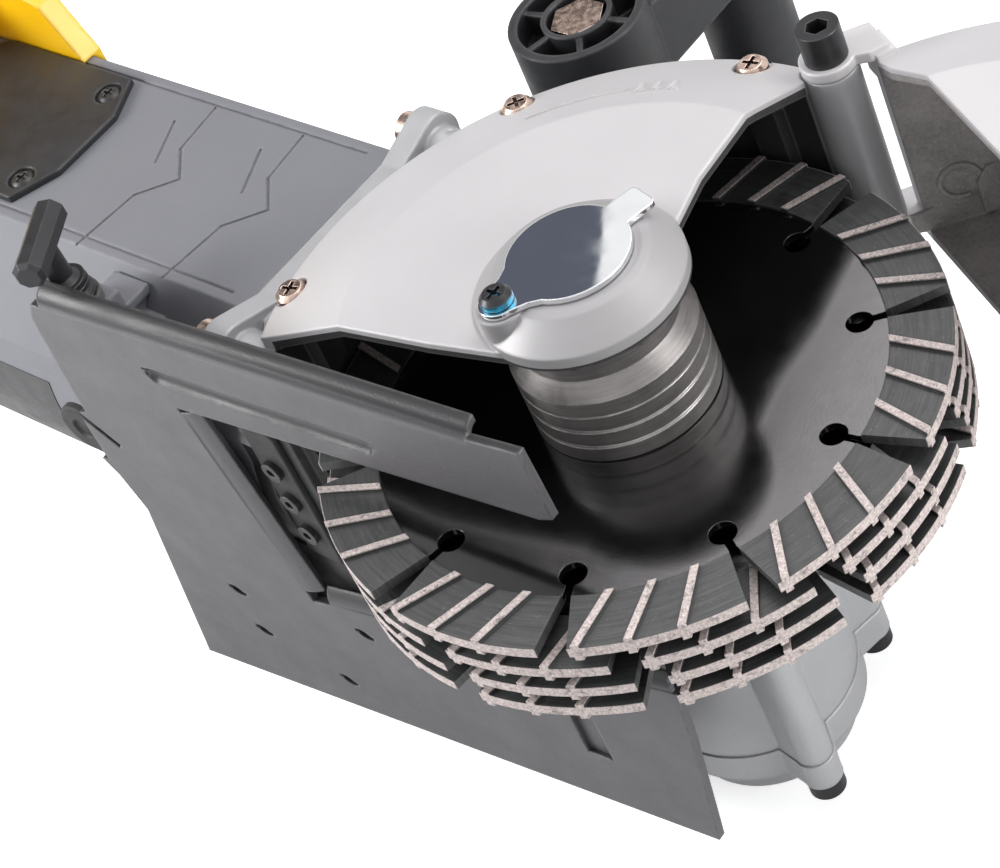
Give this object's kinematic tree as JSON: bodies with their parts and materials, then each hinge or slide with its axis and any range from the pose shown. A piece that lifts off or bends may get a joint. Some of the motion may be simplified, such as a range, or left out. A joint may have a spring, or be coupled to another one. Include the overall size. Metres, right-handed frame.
{
  "type": "wall chaser",
  "caption": "Hand-held wall chaser: diamond blade stack in a hinged guard, gear head, motor, sole plate and two handles, with a working drive train.",
  "frame": {"origin": "centre of the gear head's flat end cap, on the blade axis", "axes": "+Z along the blade axis from the end cap towards the blades, +X along the motor axis away from the motor, -Y towards the wall that is cut"},
  "size_m": [0.5352, 0.2245, 0.1739],
  "materials": {
    "blade": "satin",
    "gunmetal": "satin",
    "dark_steel": "satin",
    "bright_steel": "polished",
    "gear_steel": "ground",
    "casting": "satin",
    "guard_casting": "satin",
    "cover_casting": "satin",
    "nickel": "polished",
    "chrome": "mirror",
    "grey_plastic": "fine grain",
    "black_plastic": "fine grain",
    "yellow_plastic": "satin",
    "black_rubber": "matte",
    "sheet_steel": "satin",
    "lamination": "satin",
    "copper": "lacquered",
    "brass": "satin",
    "carbon": "matte"
  },
  "bodies": {
    "machine": {"lower_spindle_bearing": "bright_steel", "upper_spindle_bearing": "bright_steel", "spindle_seal": "black_rubber", "cover_bearing": "bright_steel", "layshaft_bearings": "bright_steel", "gear_case": "casting", "gear_plate": "casting", "head_cover": "casting", "head_cap": "casting", "head_screws": "dark_steel", "blade_guard": "guard_casting", "guard_screws": "dark_steel", "bearing_cover": "cover_casting", "cover_screws": "nickel", "cap_screw": "dark_steel", "guard_hinge_screw": "dark_steel", "seal_strip": "black_rubber", "seal_screws": "dark_steel", "dust_spigot": "black_plastic", "motor_housing": "grey_plastic", "flange_screws": "nickel", "stator": "lamination", "field_coils": "copper", "motor_bearings": "bright_steel", "brush_holders": "brass", "carbon_brushes": "carbon", "top_cover": "black_plastic", "top_cover_screws": "dark_steel", "hood": "yellow_plastic", "rear_handle_left": "black_plastic", "rear_handle_right": "black_plastic", "switch_body": "black_plastic", "cord_gland": "black_rubber", "pivot_bracket": "black_plastic", "pivot_hardware": "dark_steel"},
    "blade_stack": {"blade_1": "blade", "blade_2": "blade", "blade_3": "blade", "blade_4": "blade", "spacer_rings": "gunmetal", "inner_flange": "gunmetal", "clamp_flange": "gunmetal", "clamp_screw": "dark_steel", "spindle": "bright_steel", "crown_gear": "gear_steel"},
    "intermediate_shaft": {"layshaft": "bright_steel", "bevel_pinion": "gear_steel", "layshaft_gear": "gear_steel"},
    "motor_rotor": {"armature": "lamination", "armature_windings": "copper", "commutator": "copper", "motor_fan": "black_plastic"},
    "opening_guard": {"front_guard": "cover_casting"},
    "cap_plate": {"swing_cap": "chrome"},
    "depth_plate": {"sole_plate": "sheet_steel"},
    "clamp_lever": {"t_lever": "dark_steel"},
    "side_handle": {"front_handle": "black_plastic", "handle_bolt": "nickel"},
    "trigger_key": {"trigger": "black_plastic"},
    "lock_key": {"lock_button": "black_plastic"}
  },
  "joints": [
    {"name": "spindle_spin", "type": "hinge", "parent": "machine", "child": "blade_stack", "pos_m": [0, 0, 0.125], "axis": [0, 0, 1], "continuous": true},
    {"name": "layshaft_spin", "type": "hinge", "parent": "machine", "child": "intermediate_shaft", "pos_m": [-0.07, 0, 0.055], "axis": [1, 0, 0], "continuous": true},
    {"name": "armature_spin", "type": "hinge", "parent": "machine", "child": "motor_rotor", "pos_m": [-0.165, 0, 0.095], "axis": [1, 0, 0], "continuous": true},
    {"name": "front_guard_swing", "type": "hinge", "parent": "machine", "child": "opening_guard", "pos_m": [0.0053, 0.0845, 0.125], "axis": [0, 0, 1], "range_deg": [-62, 20]},
    {"name": "cap_swing", "type": "hinge", "parent": "machine", "child": "cap_plate", "pos_m": [-0.0057, -0.018, 0.167], "axis": [0, 0, 1], "range_deg": [0, 110]},
    {"name": "sole_plate_swing", "type": "hinge", "parent": "machine", "child": "depth_plate", "pos_m": [-0.1317, -0.04673, 0.145], "axis": [0, 0, 1], "range_deg": [-12, 0.5]},
    {"name": "clamp_lever_turn", "type": "hinge", "parent": "machine", "child": "clamp_lever", "pos_m": [-0.1317, -0.04673, 0.155], "axis": [0, 0, 1], "range_deg": [0, 180]},
    {"name": "side_handle_swing", "type": "hinge", "parent": "machine", "child": "side_handle", "pos_m": [-0.075, 0.084, 0.115], "axis": [0, 0, 1], "range_deg": [0, 60]},
    {"name": "trigger_press", "type": "slide", "parent": "machine", "child": "trigger_key", "axis": [0, 0, 1], "range_m": [0, 0.005], "stiffness_N_per_m": 600, "springref_m": -0.002},
    {"name": "lock_press", "type": "slide", "parent": "machine", "child": "lock_key", "axis": [0, -1, 0], "range_m": [0, 0.003], "stiffness_N_per_m": 400, "springref_m": -0.001}
  ],
  "couplings": [
    {"joint": "layshaft_spin", "follows": "spindle_spin", "ratio": -1.9231},
    {"joint": "armature_spin", "follows": "spindle_spin", "ratio": 5.4734}
  ]
}
